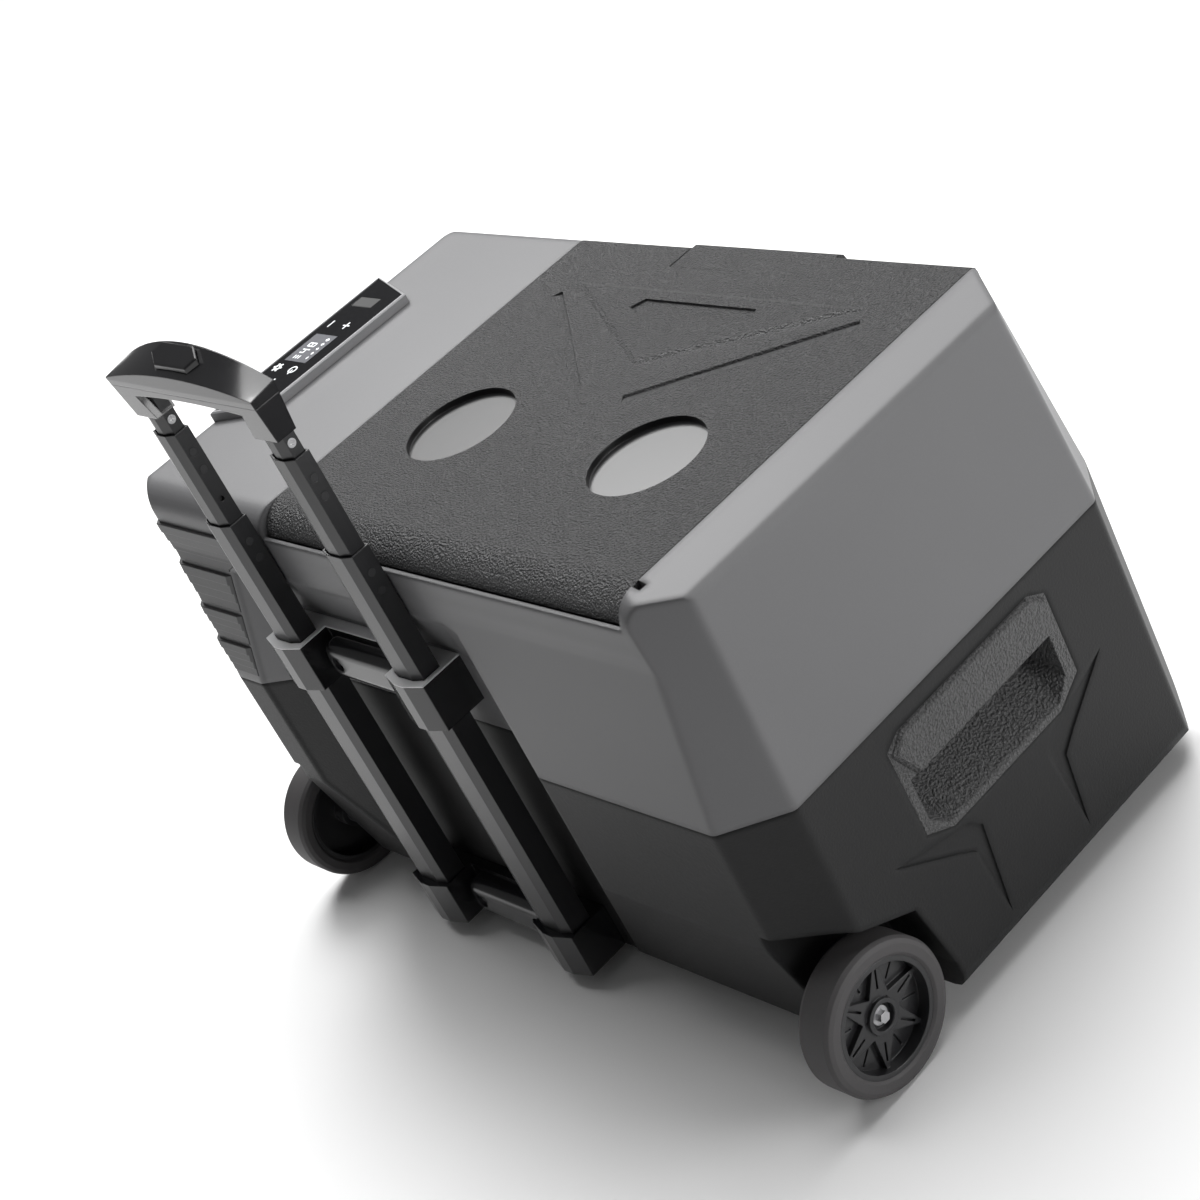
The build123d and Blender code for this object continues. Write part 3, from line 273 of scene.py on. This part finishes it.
def smooth_cups(recipe):
    """Mask that is 1 on the floors of both cup recesses."""
    mask = 0.0
    for side in (-1, 1):
        dx = recipe.axis("X") - (LID_MID_X + side * CUP_OFFSET)
        dy = recipe.axis("Y") - CUP_Y
        mask = mask + ((dx * dx + dy * dy) < CUP_RADIUS ** 2)
    return mask


SHELL_GREY = grained_plastic(
    "satin grey shell", (0.090, 0.090, 0.093), (0.145, 0.145, 0.149), 0.36, 900.0, 0.12, 0.0065)
# Louvre ribs: the shell's satin grey darkened to about a third, as painted shade for ribs that sit in
# shade.
RIB_GREY_PAINTED_SHADE = grained_plastic(
    "satin grey ribs with painted shade", (0.030, 0.030, 0.031), (0.052, 0.052, 0.054), 0.38, 900.0, 0.12, 0.0012)
SHELL_BLACK = grained_plastic(
    "black shell", (0.0065, 0.0065, 0.0068), (0.0185, 0.0185, 0.019), 0.42, 560.0, 0.6, 0.0060,
    0.22)
LID_BLACK = pebbled_plastic("pebbled lid", (0.006, 0.006, 0.0064), (0.054, 0.054, 0.056), 0.34, smooth_cups)
HANDLE_BLACK = pebbled_plastic(
    "pebbled carry handle", (0.016, 0.016, 0.016), (0.105, 0.105, 0.107), 0.36, None, 560.0, 0.0025)
GLOSS_BLACK = gloss_plastic("gloss black moulding", (0.008, 0.008, 0.009), (0.018, 0.018, 0.020))
HUB_BLACK = gloss_plastic("wheel hub moulding", (0.010, 0.010, 0.011), (0.024, 0.024, 0.026), 0.30)
BRACKET_CAP_PAINTED_LIGHT = gloss_with_pale_cap_painted_light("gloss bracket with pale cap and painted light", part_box("upper_bracket")[1][2] - 0.0009)
TUBE_BLACK = coated_tube("black coated tube")
INNER_BLACK = grained_plastic(
    "inner black moulding", (0.015, 0.015, 0.016), (0.035, 0.035, 0.037), 0.5, 700.0, 0.2, 0.0005)
BEZEL_GREY = grained_plastic(
    "console bezel", (0.22, 0.22, 0.225), (0.36, 0.36, 0.37), 0.26, 1200.0, 0.08, 0.0008)
LINER_WHITE = grained_plastic(
    "food-safe liner", (0.60, 0.61, 0.63), (0.74, 0.75, 0.77), 0.30, 260.0, 0.06, 0.002)
TYRE = rubber("tyre compound", (0.040, 0.038, 0.039), (0.074, 0.070, 0.072), 0.62)
SOFT_RUBBER = rubber("soft rubber", (0.018, 0.018, 0.018), (0.040, 0.040, 0.040))
STEEL = metal("brushed steel", (0.42, 0.42, 0.43), (0.70, 0.70, 0.71), 0.22)
ALUMINIUM = metal("rolled aluminium", (0.60, 0.61, 0.62), (0.84, 0.85, 0.86), 0.28, (1, 0.03, 1))
COPPER = metal("copper line", (0.48, 0.22, 0.13), (0.80, 0.45, 0.30), 0.25)
PAINT = gloss_plastic("compressor paint", (0.010, 0.010, 0.010), (0.024, 0.024, 0.024), 0.28)
FOAM = foam_finish("insulating foam")
BOARD = board_finish("circuit board")
GLASS = glass_finish("black panel glass")
PRINT = lit_print("white print", (0.86, 0.88, 0.90), 0.35)
DISPLAY = lit_print("display backlight", (0.016, 0.018, 0.030), 0.3)

FINISHES = {
    SHELL_GREY: ("upper_housing",),
    RIB_GREY_PAINTED_SHADE: ("vent_louvres", "vent_grille"),
    SHELL_BLACK: ("lower_housing",),
    LID_BLACK: ("lid_shell", "lid_latch"),
    HANDLE_BLACK: ("carry_handle_plain_end", "carry_handle_console_end"),
    GLOSS_BLACK: ("lower_bracket", "grip_base", "grip_cover", "release_button"),
    BRACKET_CAP_PAINTED_LIGHT: ("upper_bracket",),
    HUB_BLACK: ("wheel_hub_plain_end", "wheel_hub_console_end"),
    TUBE_BLACK: ("outer_tubes", "stage1_tubes", "stage2_tubes", "stage3_tubes"),
    INNER_BLACK: (
        "partition_panel", "compressor_controller", "fan_frame", "fan_rotor", "usb_socket", "dc_socket",
        "stage1_guides", "stage2_guides", "stage3_guides", "stage1_plugs", "stage2_plugs", "axle_spacers"),
    BEZEL_GREY: ("console_bezel",),
    LINER_WHITE: ("cabin_liner", "lid_liner"),
    TYRE: ("wheel_tyre_plain_end", "wheel_tyre_console_end"),
    SOFT_RUBBER: ("compressor_grommets", "usb_flap", "front_feet", "lid_gasket"),
    STEEL: (
        "base_plate", "bracket_screws", "stage3_screws", "release_yoke", "release_rods", "axle_bolts",
        "hinge_pins", "latch_pin", "dc_contacts"),
    ALUMINIUM: ("evaporator_coil", "condenser"),
    COPPER: ("filter_drier", "refrigerant_pipes"),
    PAINT: ("compressor",),
    FOAM: ("insulation_foam", "lid_foam"),
    BOARD: ("control_board",),
    GLASS: ("console_glass",),
    PRINT: ("console_icons",),
    DISPLAY: ("console_display",),
}
for finish, names in FINISHES.items():
    for name in names:
        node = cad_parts[name]
        node.data.materials.clear()
        node.data.materials.append(finish)


# ---- small trim added to the moulded nodes --------------------------------------
def piece(name, work, finish, body):
    """Turn a bmesh into a named piece that rides on a body."""
    mesh = bpy.data.meshes.new(name)
    work.to_mesh(mesh)
    work.free()
    made = bpy.data.objects.new(name, mesh)
    bpy.context.scene.collection.objects.link(made)
    made.data.materials.append(finish)
    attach(made, body)
    return made


def add_prism(work, outline, low, high):
    """Add an upright prism over an outline."""
    under = [work.verts.new((x, y, low)) for x, y in outline]
    over = [work.verts.new((x, y, high)) for x, y in outline]
    count = len(outline)
    for i in range(count):
        following = (i + 1) % count
        work.faces.new((under[i], under[following], over[following], over[i]))
    work.faces.new(list(reversed(under)))
    work.faces.new(over)


def bar(x0, x1, y0, y1):
    """Six-sided display segment with pointed ends along its longer side."""
    tip = min(x1 - x0, y1 - y0) / 2
    if x1 - x0 > y1 - y0:
        ym = (y0 + y1) / 2
        return [(x0, ym), (x0 + tip, y0), (x1 - tip, y0), (x1, ym), (x1 - tip, y1), (x0 + tip, y1)]
    xm = (x0 + x1) / 2
    return [(x0, y0 + tip), (xm, y0), (x1, y0 + tip), (x1, y1 - tip), (xm, y1), (x0, y1 - tip)]


SEGMENTS = {"4": "fgbc", "8": "abcdefg"}
PRINT_THICKNESS = 0.00012
FIGURE_HEIGHT = 0.0095
DISPLAY_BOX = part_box("console_display")


def digit(work, text, x, y, size, z):
    """One seven-segment figure read from the -X side, with its top towards +X."""
    w, h, t = size * 0.55, size, size * 0.13
    spots = {
        "a": (h - t, h, 0, w), "d": (0, t, 0, w), "g": ((h - t) / 2, (h + t) / 2, 0, w),
        "f": (h / 2, h, 0, t), "e": (0, h / 2, 0, t), "b": (h / 2, h, w - t, w), "c": (0, h / 2, w - t, w),
    }
    for letter in SEGMENTS[text]:
        x0, x1, across0, across1 = spots[letter]
        add_prism(work, bar(x + x0, x + x1, y - across1, y - across0), z, z + PRINT_THICKNESS)


work = bmesh.new()
top = DISPLAY_BOX[1][2]
x_low, y_high = DISPLAY_BOX[0][0], DISPLAY_BOX[1][1]
digit(work, "4", x_low + 0.0125, y_high - 0.010, FIGURE_HEIGHT, top)
digit(work, "8", x_low + 0.0125, y_high - 0.018, FIGURE_HEIGHT, top)
for i in range(5):
    y = y_high - 0.004 - 0.0056 * i
    mark = bar(x_low + 0.004, x_low + 0.0055 + 0.0008 * i, y - 0.0034, y)
    add_prism(work, mark, top, top + PRINT_THICKNESS)
for i in range(3):
    x = x_low + 0.0145 + 0.0030 * i
    mark = bar(x, x + 0.0012, y_high - 0.0075, y_high - 0.003)
    add_prism(work, mark, top, top + PRINT_THICKNESS)
piece("display_figures", work, PRINT, "body")

# ---- floor, light and camera ----------------------------------------------------
def floor_finish():
    recipe = Recipe("pale floor")
    tone = recipe.noise(1.5, 2.0)
    colour = recipe.blend(tone, (0.86, 0.86, 0.86), (0.90, 0.90, 0.90))
    return recipe.surface(colour, tone * 0.05 + 0.6, None, edge=None)


work = bmesh.new()
bmesh.ops.create_grid(work, x_segments=2, y_segments=2, size=12.0)
mesh = bpy.data.meshes.new("floor")
work.to_mesh(mesh)
work.free()
floor = bpy.data.objects.new("floor", mesh)
floor.location.z = cad_box[0][2]
floor.data.materials.append(floor_finish())
bpy.context.scene.collection.objects.link(floor)

world = bpy.data.worlds.new("studio")
bpy.context.scene.world = world
world.use_nodes = True
background = world.node_tree.nodes["Background"]
background.inputs["Color"].default_value = (1.0, 1.0, 1.0, 1.0)
background.inputs["Strength"].default_value = 0.15

MIDDLE = (Vector(cad_box[0]) + Vector(cad_box[1])) / 2


def soft_light(name, place, size, watts):
    """Large square lamp aimed at the middle of the cooler."""
    lamp = bpy.data.lights.new(name, "AREA")
    lamp.energy = watts
    lamp.size = size
    made = bpy.data.objects.new(name, lamp)
    made.location = place
    made.rotation_euler = (MIDDLE - Vector(place)).to_track_quat("-Z", "Y").to_euler()
    bpy.context.scene.collection.objects.link(made)


soft_light("overhead", (1.2, -1.8, 4.3), 5.2, 400.0)
soft_light("end_key", (-2.7, -1.2, 0.8), 1.3, 38.0)
soft_light("top_sheen", (1.7, -0.9, 2.1), 1.0, 30.0)
bpy.context.scene.view_settings.view_transform = "Standard"

camera = bpy.data.cameras.new("camera")
camera.sensor_width = 36.0
camera.lens = 76.8
camera.clip_start = 0.05
camera.clip_end = 50.0
viewer = bpy.data.objects.new("camera", camera)
RIGHT = Vector((-0.62307, -0.66479, -0.41212))
UP = Vector((0.15156, -0.61952, 0.77021))
BACK = Vector((-0.76734, 0.41743, 0.48676))
turn = Matrix((RIGHT, UP, BACK)).transposed().to_4x4()
viewer.matrix_world = Matrix.Translation((-1.3346, 0.7450, 1.0623)) @ turn
bpy.context.scene.collection.objects.link(viewer)
bpy.context.scene.camera = viewer
